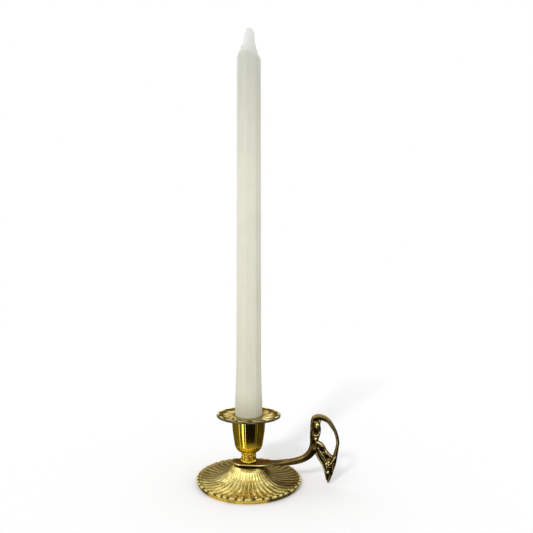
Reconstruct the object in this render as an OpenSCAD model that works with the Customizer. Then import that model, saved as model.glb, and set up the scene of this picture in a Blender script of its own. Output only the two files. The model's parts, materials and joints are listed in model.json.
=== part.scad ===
// Brass chamberstick: a ribbed saucer, a strap handle with an openwork finger grip,
// a petalled cup with a lobed drip pan, and the candle that stands in it.
// The castings are stacked on one threaded stud. Millimetres, +Z up.
// The origin is the centre of the saucer on the table, and +X runs along the handle.

/* [Base dish] */
// Outer diameter of the saucer
base_d = 82; // [72:0.5:92]
// Height of the scalloped rim above the table
rim_h = 4.2; // [3.8:0.1:5]
// Height of the hub's flat top above the table
hub_h = 13.2; // [12:0.1:16]
// Diameter of the hub's flat top
hub_d = 24.6; // [22:0.2:26]
// Number of ribs around the saucer
rib_count = 44; // [36, 40, 44]
// Number of beads around the scalloped rim
rim_beads = 42; // [24:1:48]
// Depth of the flutes between the ribs
flute_depth = 0.45; // [0.2:0.05:0.6]

/* [Handle] */
// Thickness of the strap that is clamped under the collar
strap_t = 2.1; // [1.6:0.1:3]
// Width of the strap where the stud passes through it
strap_w = 14; // [12:0.5:18]
// Width of the arm and thickness of the finger grip
grip_t = 4.4; // [3.6:0.1:6]
// Distance from the stud to the outside of the grip
reach = 70.4; // [62:0.5:80]
// Height of the top of the grip above the table
grip_h = 54; // [48:0.5:60]

/* [Cup] */
// Diameter of the ornamented collar between the strap and the cup
collar_d = 12.3; // [10:0.1:13]
// Height of the collar
collar_h = 8.2; // [6:0.1:12]
// Height of the petalled cup
cup_h = 27; // [24:0.5:34]
// Diameter of the cup at its mouth
cup_top_d = 27.2; // [25.4:0.1:29]
// Diameter of the cup above its rounded foot
cup_foot_d = 21.4; // [20.6:0.1:22.6]
// Number of narrow grooves between the petals of the cup
cup_grooves = 18; // [12:1:20]
// Diameter of the drip pan
pan_d = 50.8; // [46:0.2:60]
// Number of lobes around the drip pan
pan_lobes = 14; // [10:1:18]
// Thickness of the drip pan at its rounded rim
pan_rim_t = 2.7; // [2.2:0.1:3.2]

/* [Candle] */
// Diameter of the candle's end where it enters the drip pan
candle_end_d = 22; // [21.4:0.1:22.2]
// Diameter of the candle above its flared end
candle_d = 20; // [18:0.1:20.6]
// Height of the tip of the wick above the table
overall_h = 365.3; // [180:1:400]

/* [Fasteners] */
// Diameter of the stud that holds the castings together
stud_d = 5; // [4:0.5:6]

/* [Hidden] */
$fn = 96;

// Heights of the stacked pieces
strap_z = hub_h;
strap_end_x = -5.6;
collar_z = strap_z + strap_t;
cup_z = collar_z + collar_h;
cup_floor_t = 5;
socket_floor_z = cup_z + cup_floor_t;
pan_z = cup_z + cup_h;
pan_drop = 0.3;
pan_top_z = pan_z - pan_drop + pan_rim_t;

// Saucer
base_r = base_d / 2;
foot_r = base_r - 2;
hub_r = hub_d / 2;
dish_t = 1.3;
hub_top_t = 3;
hub_step_h = 0.8;
boss_r = stud_d + 1;
rib_pitch = 360 / rib_count;

// Clearances
hole_clearance = 0.2;
candle_gap = 0.3;
stud_bore_d = stud_d + 2 * hole_clearance;

// Stud, washer and nut under the hub
washer_t = 1;
nut_t = 4;
nut_flats = stud_d + 3;
hub_under_z = hub_h - hub_top_t;
washer_z = hub_under_z - washer_t;
nut_z = washer_z - nut_t;
stud_bottom_z = nut_z - 1;
stud_top_z = socket_floor_z - 1.2;

// Socket, tapered so that the candle's end draws out freely
socket_mouth_r = candle_end_d / 2 + candle_gap;
socket_floor_r = socket_mouth_r - 2.5;

// Candle
candle_z = socket_floor_z + candle_gap;
shoulder_z = overall_h - 25;
tip_z = overall_h - 1.2;
wick_r = 1.2;

// Point at parameter t between b and c on a smooth curve through a, b, c and d
function blend(a, b, c, d, t) =
    0.5 * (2 * b + (c - a) * t
        + (2 * a - 5 * b + 4 * c - d) * t * t
        + (3 * b - a - 3 * c + d) * t * t * t);

// Closed smooth outline through the given points
function smooth_loop(points, steps = 5) =
    let (n = len(points))
    [
        for (i = [0:n - 1], s = [0:steps - 1])
            blend(
                points[(i + n - 1) % n], points[i],
                points[(i + 1) % n], points[(i + 2) % n], s / steps
            )
    ];

// Open smooth curve through the given points
function smooth_line(points, steps = 5) =
    let (n = len(points))
    concat(
        [
            for (i = [0:n - 2], s = [0:steps - 1])
                blend(
                    points[max(i - 1, 0)], points[i],
                    points[i + 1], points[min(i + 2, n - 1)], s / steps
                )
        ],
        [points[n - 1]]
    );

// Upper surface of the saucer from the hub's edge out to the rim: radius, height
function dish_top(drop = 0) = smooth_line([
    [hub_r + 0.1, hub_h - hub_step_h - 0.5 - drop],
    [hub_r + 0.9, hub_h - hub_step_h - 2.2 - drop],
    [hub_r + 2.4, hub_h - hub_step_h - 4.4 - drop],
    [hub_r + 6.4, 4.3 - drop],
    [hub_r + 11.2, 2.5 - drop],
    [base_r - 10, 2 - drop],
    [base_r - 3.4, rim_h - 1.2 - drop]
], 3);

// Section of the saucer, from the boss under the strap out to the rim and back beneath
module base_section() {
    polygon(concat(
        [
            [0, hub_under_z],
            [0, hub_h],
            [boss_r, hub_h],
            [boss_r, hub_h - hub_step_h],
            [hub_r - 0.4, hub_h - hub_step_h]
        ],
        dish_top(),
        [
            [base_r - 1.6, rim_h],
            [base_r - 0.4, rim_h - 0.3],
            [base_r, rim_h - 1],
            [base_r - 0.2, rim_h - 1.8],
            [base_r - 1.4, rim_h - 2.1],
            [foot_r, 0],
            [foot_r - 1.4, 0],
            [foot_r - 2, 1],
            [base_r - 12, 2 - dish_t],
            [hub_r + 7.4, 1.9 - dish_t],
            [hub_r + 3.0, 1.8],
            [hub_r + 0.4, 5.4],
            [hub_r - 1.6, hub_under_z]
        ]
    ));
}

// One flute between two ribs, cut down into the upper surface
module dish_flute() {
    rotate_extrude(angle = rib_pitch * 0.42)
        polygon(concat(
            dish_top(flute_depth),
            [[base_r - 3.4, rim_h + 1], [hub_r + 6, hub_h + 1], [hub_r, hub_h + 1]]
        ));
}

// One notch between two beads of the rim, deepest at the outer edge
module rim_notch() {
    translate([base_r - 3, 0, rim_h + 0.5])
        rotate([0, 108, 0])
            cylinder(r = 0.6, h = 5);
}

module base_dish() {
    color("#b8963f")
        difference() {
            rotate_extrude()
                base_section();
            for (i = [0:rib_count - 1])
                rotate(i * rib_pitch)
                    dish_flute();
            for (i = [0:rim_beads - 1])
                rotate(i * 360 / rim_beads)
                    rim_notch();
            translate([0, 0, hub_under_z - 1])
                cylinder(d = stud_bore_d, h = hub_top_t + 2);
        }
}

// Side view of the arm and the finger grip, as x and z
module grip_side() {
    arm_x = reach * 0.469;
    strap_top = strap_z + strap_t;
    difference() {
        polygon(concat(
            [[0, strap_z], [0, strap_top], [10, strap_top]],
            smooth_line([
                [16, strap_top + 0.3],
                [arm_x, strap_top + 3.2],
                [reach * 0.607, grip_h * 0.406],
                [reach * 0.672, grip_h * 0.5],
                [reach * 0.681, grip_h * 0.65],
                [reach * 0.688, grip_h * 0.85],
                [reach * 0.735, grip_h * 0.975],
                [reach * 0.795, grip_h],
                [reach * 0.885, grip_h * 0.953],
                [reach * 0.965, grip_h * 0.80],
                [reach, grip_h * 0.6],
                [reach * 0.985, grip_h * 0.44],
                [reach * 0.94, grip_h * 0.22],
                [reach * 0.885, 2.2],
                [reach * 0.868, 1.6],
                [reach * 0.855, 3],
                [reach * 0.838, grip_h * 0.23],
                [reach * 0.8, grip_h * 0.32],
                [reach * 0.755, grip_h * 0.4],
                [reach * 0.729, grip_h * 0.432],
                [reach * 0.656, grip_h * 0.357],
                [arm_x, strap_z + 1],
                [16, strap_z]
            ]),
            [[10, strap_z]]
        ));
        polygon(smooth_loop([
            [reach * 0.792, grip_h * 0.86],
            [reach * 0.823, grip_h * 0.907],
            [reach * 0.89, grip_h * 0.862],
            [reach * 0.945, grip_h * 0.76],
            [reach * 0.967, grip_h * 0.65],
            [reach * 0.958, grip_h * 0.53],
            [reach * 0.935, grip_h * 0.462],
            [reach * 0.905, grip_h * 0.445],
            [reach * 0.87, grip_h * 0.475],
            [reach * 0.838, grip_h * 0.54],
            [reach * 0.793, grip_h * 0.585],
            [reach * 0.772, grip_h * 0.645],
            [reach * 0.798, grip_h * 0.74]
        ]));
    }
}

// Top view of the strap, narrowing into the arm, as x and y
module strap_plan() {
    circle(d = strap_w);
    polygon(concat(
        smooth_line([
            [0, strap_w / 2],
            [9, strap_w / 2 - 0.3],
            [20, strap_w / 2 - 2.6],
            [30, grip_t / 2 + 0.3],
            [38, grip_t / 2],
            [reach + 1, grip_t / 2]
        ]),
        smooth_line([
            [reach + 1, -grip_t / 2],
            [38, -grip_t / 2],
            [30, -grip_t / 2 - 0.3],
            [20, 2.6 - strap_w / 2],
            [9, 0.3 - strap_w / 2],
            [0, -strap_w / 2]
        ])
    ));
}

// Raised boss on both faces of the grip
module grip_boss(x, z, r, h) {
    translate([x, 0, z])
        rotate([90, 0, 0])
            cylinder(r = r, h = 2 * h, center = true);
}

module handle() {
    color("#6f5527")
        difference() {
            union() {
                translate([0, 0, strap_z])
                    cylinder(d = strap_w, h = strap_t);
                translate([strap_end_x, 0, strap_z])
                    cylinder(d = strap_w, h = strap_t);
                translate([strap_end_x, -strap_w / 2, strap_z])
                    cube([-strap_end_x, strap_w, strap_t]);
                intersection() {
                    rotate([90, 0, 0])
                        translate([0, 0, -strap_w])
                            linear_extrude(2 * strap_w)
                                grip_side();
                    linear_extrude(grip_h + 2)
                        strap_plan();
                }
                grip_boss(reach * 0.757, grip_h * 0.775, 3, grip_t / 2 + 0.8);
                grip_boss(reach * 0.872, grip_h * 0.274, 2.6, grip_t / 2 + 0.8);
            }
            translate([0, 0, strap_z - 1])
                cylinder(d = stud_bore_d, h = strap_t + 2);
        }
}

module neck_collar() {
    bead_r = 0.8;
    waist_r = collar_d / 2 - 0.5;
    color("#d49a1c")
        difference() {
            union() {
                translate([0, 0, collar_z])
                    cylinder(r = waist_r, h = collar_h);
                for (z = [collar_z + bead_r, collar_z + collar_h / 2, cup_z - bead_r])
                    translate([0, 0, z])
                        rotate_extrude()
                            translate([waist_r - 0.3, 0])
                                circle(r = bead_r);
            }
            translate([0, 0, collar_z - 1])
                cylinder(d = stud_bore_d, h = collar_h + 2);
        }
}

// Narrow groove that follows the taper of the cup's wall and stops below the mouth
module cup_groove() {
    foot_r = cup_foot_d / 2;
    top_r = cup_top_d / 2;
    lean = atan((top_r - foot_r) / (cup_h - 4));
    translate([foot_r + 0.6, 0, cup_z + 2.8])
        rotate([0, lean, 0])
            cylinder(r = 0.9, h = cup_h - 4.8);
}

module candle_cup() {
    foot_r = cup_foot_d / 2;
    top_r = cup_top_d / 2;
    neck_r = collar_d / 2;
    color("#e0b62c")
        difference() {
            rotate_extrude()
                polygon(concat(
                    [[0, cup_z]],
                    smooth_line([
                        [neck_r, cup_z],
                        [neck_r + 2.6, cup_z + 0.7],
                        [foot_r - 0.5, cup_z + 2.4],
                        [foot_r + 0.2, cup_z + 5],
                        [(foot_r + top_r) / 2 + 0.3, cup_z + cup_h * 0.6],
                        [top_r, pan_z]
                    ]),
                    [[0, pan_z]]
                ));
            for (i = [0:cup_grooves - 1])
                rotate(i * 360 / cup_grooves)
                    cup_groove();
            translate([0, 0, socket_floor_z])
                cylinder(r1 = socket_floor_r, r2 = socket_mouth_r, h = pan_z - socket_floor_z + 0.01);
            translate([0, 0, cup_z - 1])
                cylinder(d = stud_d, h = stud_top_z - cup_z + 1);
        }
}

module drip_pan() {
    pan_r = pan_d / 2;
    lobe_r = pan_r * 0.44;
    color("#a98a3c")
        difference() {
            intersection() {
                rotate_extrude()
                    polygon([
                        [0, pan_z],
                        [cup_top_d / 2, pan_z],
                        [cup_top_d / 2 + 1.6, pan_z + 0.3],
                        [pan_r - 5, pan_z + 0.4],
                        [pan_r - 2, pan_z - pan_drop],
                        [pan_r - 0.5, pan_z + 0.1],
                        [pan_r, pan_z + 0.9],
                        [pan_r, pan_top_z - 0.9],
                        [pan_r - 0.6, pan_top_z - 0.2],
                        [pan_r - 2, pan_top_z],
                        [pan_r - 5, pan_top_z - 0.8],
                        [cup_top_d / 2 + 1, pan_top_z - 1.1],
                        [0, pan_top_z - 0.8]
                    ]);
                translate([0, 0, pan_z - 1])
                    linear_extrude(pan_rim_t + 2)
                        for (i = [0:pan_lobes - 1])
                            rotate(i * 360 / pan_lobes)
                                translate([pan_r - lobe_r, 0])
                                    circle(r = lobe_r);
            }
            translate([0, 0, pan_z - 1])
                cylinder(r = socket_mouth_r, h = pan_rim_t + 2);
        }
}

module centre_stud() {
    color("#9a9a92")
        translate([0, 0, stud_bottom_z])
            cylinder(d = stud_d, h = stud_top_z - stud_bottom_z);
}

module washer() {
    color("#b0b0a8")
        difference() {
            translate([0, 0, washer_z])
                cylinder(d = 2.4 * stud_d, h = washer_t);
            translate([0, 0, washer_z - 1])
                cylinder(d = stud_bore_d, h = washer_t + 2);
        }
}

module hex_nut() {
    color("#a8a8a0")
        difference() {
            translate([0, 0, nut_z])
                cylinder(d = nut_flats / cos(30), h = nut_t, $fn = 6);
            translate([0, 0, nut_z - 1])
                cylinder(d = stud_d, h = nut_t + 2);
        }
}

module candle() {
    end_r = candle_end_d / 2;
    floor_r = socket_floor_r - candle_gap;
    body_r = candle_d / 2;
    color("#e9e8d2")
        difference() {
            rotate_extrude()
                polygon([
                    [0, candle_z],
                    [floor_r, candle_z],
                    [end_r, pan_z],
                    [end_r, pan_top_z + 8],
                    [body_r + 0.3, pan_top_z + 28],
                    [body_r, pan_top_z + 40],
                    [body_r, shoulder_z],
                    [body_r - 1.2, shoulder_z + 2.6],
                    [body_r - 3.4, shoulder_z + 4.6],
                    [body_r - 4.8, tip_z - 11.6],
                    [body_r - 5.9, tip_z - 4.7],
                    [2.4, tip_z],
                    [0, tip_z]
                ]);
            translate([0, 0, candle_z - 1])
                cylinder(r = wick_r, h = overall_h);
        }
}

module wick() {
    color("#d8d4bc")
        translate([0, 0, candle_z])
            cylinder(r = wick_r, h = overall_h - candle_z);
}

base_dish();
handle();
neck_collar();
candle_cup();
drip_pan();
centre_stud();
washer();
hex_nut();
candle();
wick();
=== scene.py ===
import json
import math

import bmesh
import bpy
import numpy as np
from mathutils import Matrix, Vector

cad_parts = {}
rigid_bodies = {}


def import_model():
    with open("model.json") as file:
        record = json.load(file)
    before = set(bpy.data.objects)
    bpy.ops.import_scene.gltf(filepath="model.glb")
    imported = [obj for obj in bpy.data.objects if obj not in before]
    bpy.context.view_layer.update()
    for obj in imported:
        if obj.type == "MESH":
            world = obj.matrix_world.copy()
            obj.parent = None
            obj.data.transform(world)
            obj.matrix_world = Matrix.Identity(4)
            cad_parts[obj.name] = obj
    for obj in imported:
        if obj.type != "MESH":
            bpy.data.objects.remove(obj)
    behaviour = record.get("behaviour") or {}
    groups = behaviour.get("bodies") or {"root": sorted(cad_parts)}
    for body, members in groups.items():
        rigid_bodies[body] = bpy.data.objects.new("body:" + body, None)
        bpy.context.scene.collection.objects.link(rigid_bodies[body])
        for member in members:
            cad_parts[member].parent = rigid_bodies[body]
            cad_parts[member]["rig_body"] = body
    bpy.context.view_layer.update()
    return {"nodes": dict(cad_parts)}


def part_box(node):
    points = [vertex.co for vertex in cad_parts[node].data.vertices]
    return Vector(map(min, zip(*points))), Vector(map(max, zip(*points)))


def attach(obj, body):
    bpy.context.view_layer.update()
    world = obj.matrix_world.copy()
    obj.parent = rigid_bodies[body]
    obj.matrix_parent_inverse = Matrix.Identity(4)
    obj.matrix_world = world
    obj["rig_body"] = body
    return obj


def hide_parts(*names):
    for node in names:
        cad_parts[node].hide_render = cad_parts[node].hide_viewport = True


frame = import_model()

# The looks of a brass chamberstick. Shapes are worked out in millimetres in the part's own
# frame, +Z up with the table at z = 0, and are turned into metres when a mesh is made.

MM = 0.001


def box_mm(node):
    """Lowest and highest corner of a CAD node in millimetres."""
    low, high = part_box(node)
    return low / MM, high / MM


base_low, base_high = box_mm("base_dish")
handle_low, handle_high = box_mm("handle")
collar_low, collar_high = box_mm("neck_collar")
cup_low, cup_high = box_mm("candle_cup")
pan_low, pan_high = box_mm("drip_pan")
candle_low, candle_high = box_mm("candle")
wick_low, wick_high = box_mm("wick")
stud_low, stud_high = box_mm("centre_stud")
washer_low, washer_high = box_mm("washer")
nut_low, nut_high = box_mm("hex_nut")

# Measures and counts that more than one shape uses
HUB_Z = base_high.z
STRAP_TOP_Z = collar_low.z
STUD_R = stud_high.x
BORE_R = STUD_R + 0.2
RIBS = 44
RIM_BEADS = 42
CUP_PETALS = 18
PAN_LOBES = 14
PAN_SWIRL = math.radians(38) / 13.6  # turn of the lobes for each millimetre outwards
COLLAR_LEAVES = 8
COLLAR_BEADS = 22
CUP_FLOOR = 5
SOCKET_FLOOR_R = 8.8
SOCKET_MOUTH_R = 11.3
SOCKET_DEPTH = 22


# ---------------------------------------------------------------- mesh tools


def closed_mesh(name, points, faces, merge):
    """A mesh with points that coincide joined and with all its faces turned outwards."""
    mesh = bpy.data.meshes.new(name)
    mesh.from_pydata([tuple(p) for p in points], [], faces)
    work = bmesh.new()
    work.from_mesh(mesh)
    bmesh.ops.remove_doubles(work, verts=work.verts, dist=merge)
    bmesh.ops.recalc_face_normals(work, faces=work.faces)
    work.to_mesh(mesh)
    work.free()
    return mesh


def piece(name, verts, faces, node, slot, material, smooth_angle=None):
    """A finished piece in metres that rides with its CAD node's body and stands for it."""
    mesh = closed_mesh(name, np.asarray(verts) * MM, faces, merge=1e-7)
    for polygon in mesh.polygons:
        polygon.use_smooth = True
    if smooth_angle is not None:
        mesh.set_sharp_from_angle(angle=math.radians(smooth_angle))
    made = bpy.data.objects.new(name, mesh)
    bpy.context.scene.collection.objects.link(made)
    mesh.materials.append(material)
    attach(made, frame["nodes"][node]["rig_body"])
    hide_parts(node)
    return made


def smooth_curve(points, steps=12):
    """Catmull-Rom curve through rows of numbers."""
    pts = np.asarray(points, float)
    count = len(pts)
    out = []
    for i in range(count - 1):
        a, b, c, d = pts[max(i - 1, 0)], pts[i], pts[i + 1], pts[min(i + 2, count - 1)]
        for t in np.linspace(0, 1, steps, endpoint=False):
            out.append(
                0.5 * (2 * b + (c - a) * t + (2 * a - 5 * b + 4 * c - d) * t**2
                       + (3 * b - a - 3 * c + d) * t**3)
            )
    out.append(pts[-1])
    return np.array(out)


def filleted(corners, step, closed=True):
    """Outline through (r, z, fillet) corners, with points about step apart."""
    pts = np.array([c[:2] for c in corners], float)
    count = len(pts)
    path = []
    for i, (_, _, fillet) in enumerate(corners):
        here = pts[i]
        ends = not closed and i in (0, count - 1)
        if ends or fillet == 0:
            path.append(here)
            continue
        before, after = pts[i - 1] - here, pts[(i + 1) % count] - here
        len_a, len_b = np.linalg.norm(before), np.linalg.norm(after)
        u, v = before / len_a, after / len_b
        half = math.acos(np.clip(u @ v, -1, 1)) / 2
        reach = min(fillet / math.tan(half), 0.48 * len_a, 0.48 * len_b)
        start, end = here + u * reach, here + v * reach
        for t in np.linspace(0, 1, 7):
            path.append((1 - t) ** 2 * start + 2 * t * (1 - t) * here + t**2 * end)
    path = np.array(path)
    if closed:
        path = np.vstack([path, path[:1]])
    run = np.concatenate([[0], np.cumsum(np.linalg.norm(np.diff(path, axis=0), axis=1))])
    samples = np.linspace(0, run[-1], max(8, int(run[-1] / step)), endpoint=not closed)
    return np.column_stack([np.interp(samples, run, path[:, k]) for k in (0, 1)])


def outline_normals(outline, closed=True):
    """Outward unit normals of an outline that runs anticlockwise in r and z."""
    if closed:
        along = np.roll(outline, -1, 0) - np.roll(outline, 1, 0)
    else:
        along = np.gradient(outline, axis=0)
    along /= np.maximum(np.linalg.norm(along, axis=1, keepdims=True), 1e-9)
    return np.column_stack([along[:, 1], -along[:, 0]])


def grid_faces(rows, columns, wrap_rows):
    """Quads of a grid whose columns go all the way round."""
    i = np.arange(rows if wrap_rows else rows - 1)[:, None]
    j = np.arange(columns)[None, :]
    up, on = (i + 1) % rows, (j + 1) % columns
    quads = np.stack(
        [i * columns + j, i * columns + on, up * columns + on, up * columns + j], -1
    )
    return quads.reshape(-1, 4).tolist()


def capped(rings, low_point, high_point):
    """Verts and faces of a stack of rings that is closed by a point at each end."""
    bottom = np.array([[low_point]]) + 0 * rings[:1]
    top = np.array([[high_point]]) + 0 * rings[:1]
    verts = np.concatenate([bottom, rings, top]).reshape(-1, 3)
    return verts, grid_faces(len(rings) + 2, rings.shape[1], False)


def turned(outline, columns, relief=None, closed=True, twist=None):
    """Verts and faces of an outline turned about Z. relief(theta, r, z, nz) is an offset
    along the normal, and twist(r, z) is an angle added to each row."""
    theta = np.linspace(0, 2 * math.pi, columns, endpoint=False)[None, :]
    r, z = outline[:, :1], outline[:, 1:]
    normal = outline_normals(outline, closed)
    offset = relief(theta, r, z, normal[:, 1:]) if relief else 0 * theta * r
    radius = np.maximum(r + normal[:, :1] * offset, 0)
    height = z + normal[:, 1:] * offset
    angle = theta + (twist(r, z) if twist else 0 * r)
    verts = np.stack(
        [radius * np.cos(angle), radius * np.sin(angle), height + 0 * theta], -1
    )
    return verts.reshape(-1, 3), grid_faces(len(outline), columns, closed)


def ramp(value, low, high):
    """0 below low, 1 above high, smooth between."""
    t = np.clip((value - low) / (high - low), 0, 1)
    return t * t * (3 - 2 * t)


def band(value, low, high, edge):
    """1 between low and high, fading to 0 over edge on each side."""
    return ramp(value, low - edge, low) * (1 - ramp(value, high, high + edge))


def lobes(theta, count, power):
    """Rounded lobes round the axis: 1 on each crest and 0 in each groove."""
    return np.abs(np.cos(theta * count / 2)) ** power


def fluted(theta, r, count, half_width):
    """Hollow flutes between narrow ridges that keep one width in mm: 1 on each crest."""
    pitch = 2 * math.pi / count
    phase = np.abs((theta / pitch + 0.5) % 1 - 0.5)
    ridge = np.exp(-((phase * pitch * r / half_width) ** 2))
    return 0.55 * (1 - 2 * phase) ** 2 + 0.45 * ridge


def mark(made, name, weight):
    """Stores a 0 to 1 weight, worked out from the points in mm, as a named attribute."""
    mesh = made.data
    points = np.empty(len(mesh.vertices) * 3)
    mesh.vertices.foreach_get("co", points)
    layer = mesh.attributes.new(name, "FLOAT", "POINT")
    values = weight(*(points.reshape(-1, 3) / MM).T)
    layer.data.foreach_set("value", np.clip(values, 0, 1).astype(np.float32))


def mark_recesses(made, passes, depth_mm):
    """Stores how far each point lies in a hollow, from 0 on a crest, through 0.5 on the
    flat, to 1 in a groove, as the attribute 'recess'."""
    mesh = made.data
    count = len(mesh.vertices)
    rest = np.empty(count * 3)
    mesh.vertices.foreach_get("co", rest)
    rest = rest.reshape(-1, 3)
    normals = np.empty(count * 3)
    mesh.vertices.foreach_get("normal", normals)
    normals = normals.reshape(-1, 3)
    edges = np.empty(len(mesh.edges) * 2, int)
    mesh.edges.foreach_get("vertices", edges)
    a, b = edges[::2], edges[1::2]
    degree = np.maximum(np.bincount(edges, minlength=count), 1)[:, None]
    soft = rest.copy()
    for _ in range(passes):
        total = np.column_stack([
            np.bincount(a, soft[b, k], count) + np.bincount(b, soft[a, k], count)
            for k in range(3)
        ])
        soft = 0.5 * soft + 0.5 * total / degree
    depth = ((soft - rest) * normals).sum(1) / (depth_mm * MM)
    layer = mesh.attributes.new("recess", "FLOAT", "POINT")
    layer.data.foreach_set("value", np.clip(0.5 + 0.5 * depth, 0, 1).astype(np.float32))


# ---------------------------------------------------------------- materials


class Nodes:
    """Short calls for building one material's node tree."""

    def __init__(self, name):
        self.material = bpy.data.materials.new(name)
        self.material.use_nodes = True
        self.tree = self.material.node_tree
        self.shader = self.tree.nodes["Principled BSDF"]

    def add(self, kind, **settings):
        made = self.tree.nodes.new("ShaderNode" + kind)
        for key, value in settings.items():
            setattr(made, key, value)
        return made

    def link(self, source, target):
        self.tree.links.new(source, target)

    def set(self, **values):
        for key, value in values.items():
            self.shader.inputs[key.replace("_", " ")].default_value = value

    def noise(self, scale, detail=4.0, rough=0.6, stretch=(1, 1, 1)):
        coords = self.add("TexCoord")
        mapping = self.add("Mapping")
        mapping.inputs["Scale"].default_value = stretch
        texture = self.add("TexNoise")
        texture.inputs["Scale"].default_value = scale
        texture.inputs["Detail"].default_value = detail
        texture.inputs["Roughness"].default_value = rough
        self.link(coords.outputs["Object"], mapping.inputs["Vector"])
        self.link(mapping.outputs["Vector"], texture.inputs["Vector"])
        return texture.outputs["Fac"]

    def remap(self, value, low, high, to_low=0.0, to_high=1.0):
        made = self.add("MapRange", clamp=True)
        for key, number in (
            ("From Min", low), ("From Max", high), ("To Min", to_low), ("To Max", to_high)
        ):
            made.inputs[key].default_value = number
        self.link(value, made.inputs["Value"])
        return made.outputs["Result"]

    def math(self, operation, *values):
        made = self.add("Math", operation=operation)
        for socket, value in zip(made.inputs, values):
            if isinstance(value, (int, float)):
                socket.default_value = value
            else:
                self.link(value, socket)
        return made.outputs[0]

    def mix(self, factor, a, b):
        made = self.add("Mix", data_type="RGBA")
        for socket, value in ((made.inputs[0], factor), (made.inputs[6], a), (made.inputs[7], b)):
            if isinstance(value, (int, float, tuple)):
                socket.default_value = value
            else:
                self.link(value, socket)
        return made.outputs[2]

    def bump(self, height, strength, distance, after=None):
        made = self.add("Bump")
        made.inputs["Strength"].default_value = strength
        made.inputs["Distance"].default_value = distance
        self.link(height, made.inputs["Height"])
        if after is not None:
            self.link(after, made.inputs["Normal"])
        return made.outputs["Normal"]


def rgb(r, g, b):
    return (r, g, b, 1.0)


def brass(
    name, crest, flat, hollow, dull, edge, gloss, matte, start, full, painted_reflection_and_tone=None,
    grain=0.25, coat=0.0, rub=0.5, metal=1.0, pitted=1.0,
):
    """Cast brass: crests rubbed bright, flats toned, hollows filled with patina from start
    to full, and a dull film where a stored weight asks for it, which is patina in some
    places and painted shade in others. A second stored weight marks where another colour
    shows: a painted reflection on the saucer's foot band and another tone on the handle's
    strap. edge is the tint of grazing reflections, gloss and matte are the least and the
    greatest roughness, grain is the strength of the dark specks, coat is the weight of a
    clear lacquer, rub is how much the crests still shine through the film, metal is less
    than 1 where a dull lacquer scatters light, and pitted is how uneven the casting's skin is."""
    n = Nodes(name)
    recess = n.add("Attribute", attribute_name="recess").outputs["Fac"]
    # film weight: patina, and on the saucer and the pan also painted shade
    film_and_painted_shade = n.add("Attribute", attribute_name="film_and_painted_shade").outputs["Fac"]
    blotch = n.noise(180, 5, 0.65)
    speck = n.noise(1400, 3, 0.7)
    uneven = n.math("MULTIPLY_ADD", blotch, 0.3, -0.15)
    worn = n.math("ADD", recess, uneven)
    patina = n.remap(worn, start, full)
    rubbed = n.remap(worn, 0.2, 0.5, 1.0, 0.0)
    film = n.remap(n.math("ADD", film_and_painted_shade, uneven), 0.15, 0.95)
    tone = n.mix(film, flat, dull)
    tone = n.mix(n.math("MULTIPLY", rubbed, n.remap(film, 0.0, 0.6, 0.95, rub)), tone, crest)
    tone = n.mix(patina, tone, hollow)
    tone = n.mix(n.remap(speck, 0.58, 0.72, 0.0, grain), tone, hollow)
    # second weight: a painted reflection on the saucer's foot band, and another tone on the
    # handle's strap
    if painted_reflection_and_tone:
        reflection_and_tone_weight = n.add("Attribute", attribute_name="painted_reflection_and_tone").outputs["Fac"]
        tone = n.mix(n.remap(n.math("ADD", reflection_and_tone_weight, uneven), 0.1, 0.95), tone, painted_reflection_and_tone)
    n.link(tone, n.shader.inputs["Base Color"])
    n.set(Metallic=metal, Coat_Weight=coat, Specular_Tint=edge)
    worst = n.math("MAXIMUM", patina, film)
    rough = n.remap(n.math("ADD", worst, n.math("MULTIPLY", blotch, 0.4)), 0.1, 1.2, gloss, matte)
    n.link(rough, n.shader.inputs["Roughness"])
    fine = n.bump(speck, 0.12 * pitted, 0.00006)
    n.link(n.bump(blotch, 0.25 * pitted, 0.00025, fine), n.shader.inputs["Normal"])
    return n.material


def steel(name):
    """Zinc-plated steel with turning marks round the axis."""
    n = Nodes(name)
    blotch = n.noise(300, 4, 0.6)
    tone = n.mix(n.remap(blotch, 0.35, 0.7), rgb(0.55, 0.55, 0.52), rgb(0.42, 0.40, 0.35))
    n.link(tone, n.shader.inputs["Base Color"])
    n.set(Metallic=1.0)
    n.link(n.remap(blotch, 0.3, 0.7, 0.32, 0.5), n.shader.inputs["Roughness"])
    marks = n.noise(900, 2, 0.5, (1, 1, 6))
    n.link(n.bump(marks, 0.2, 0.00005), n.shader.inputs["Normal"])
    return n.material


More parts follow.
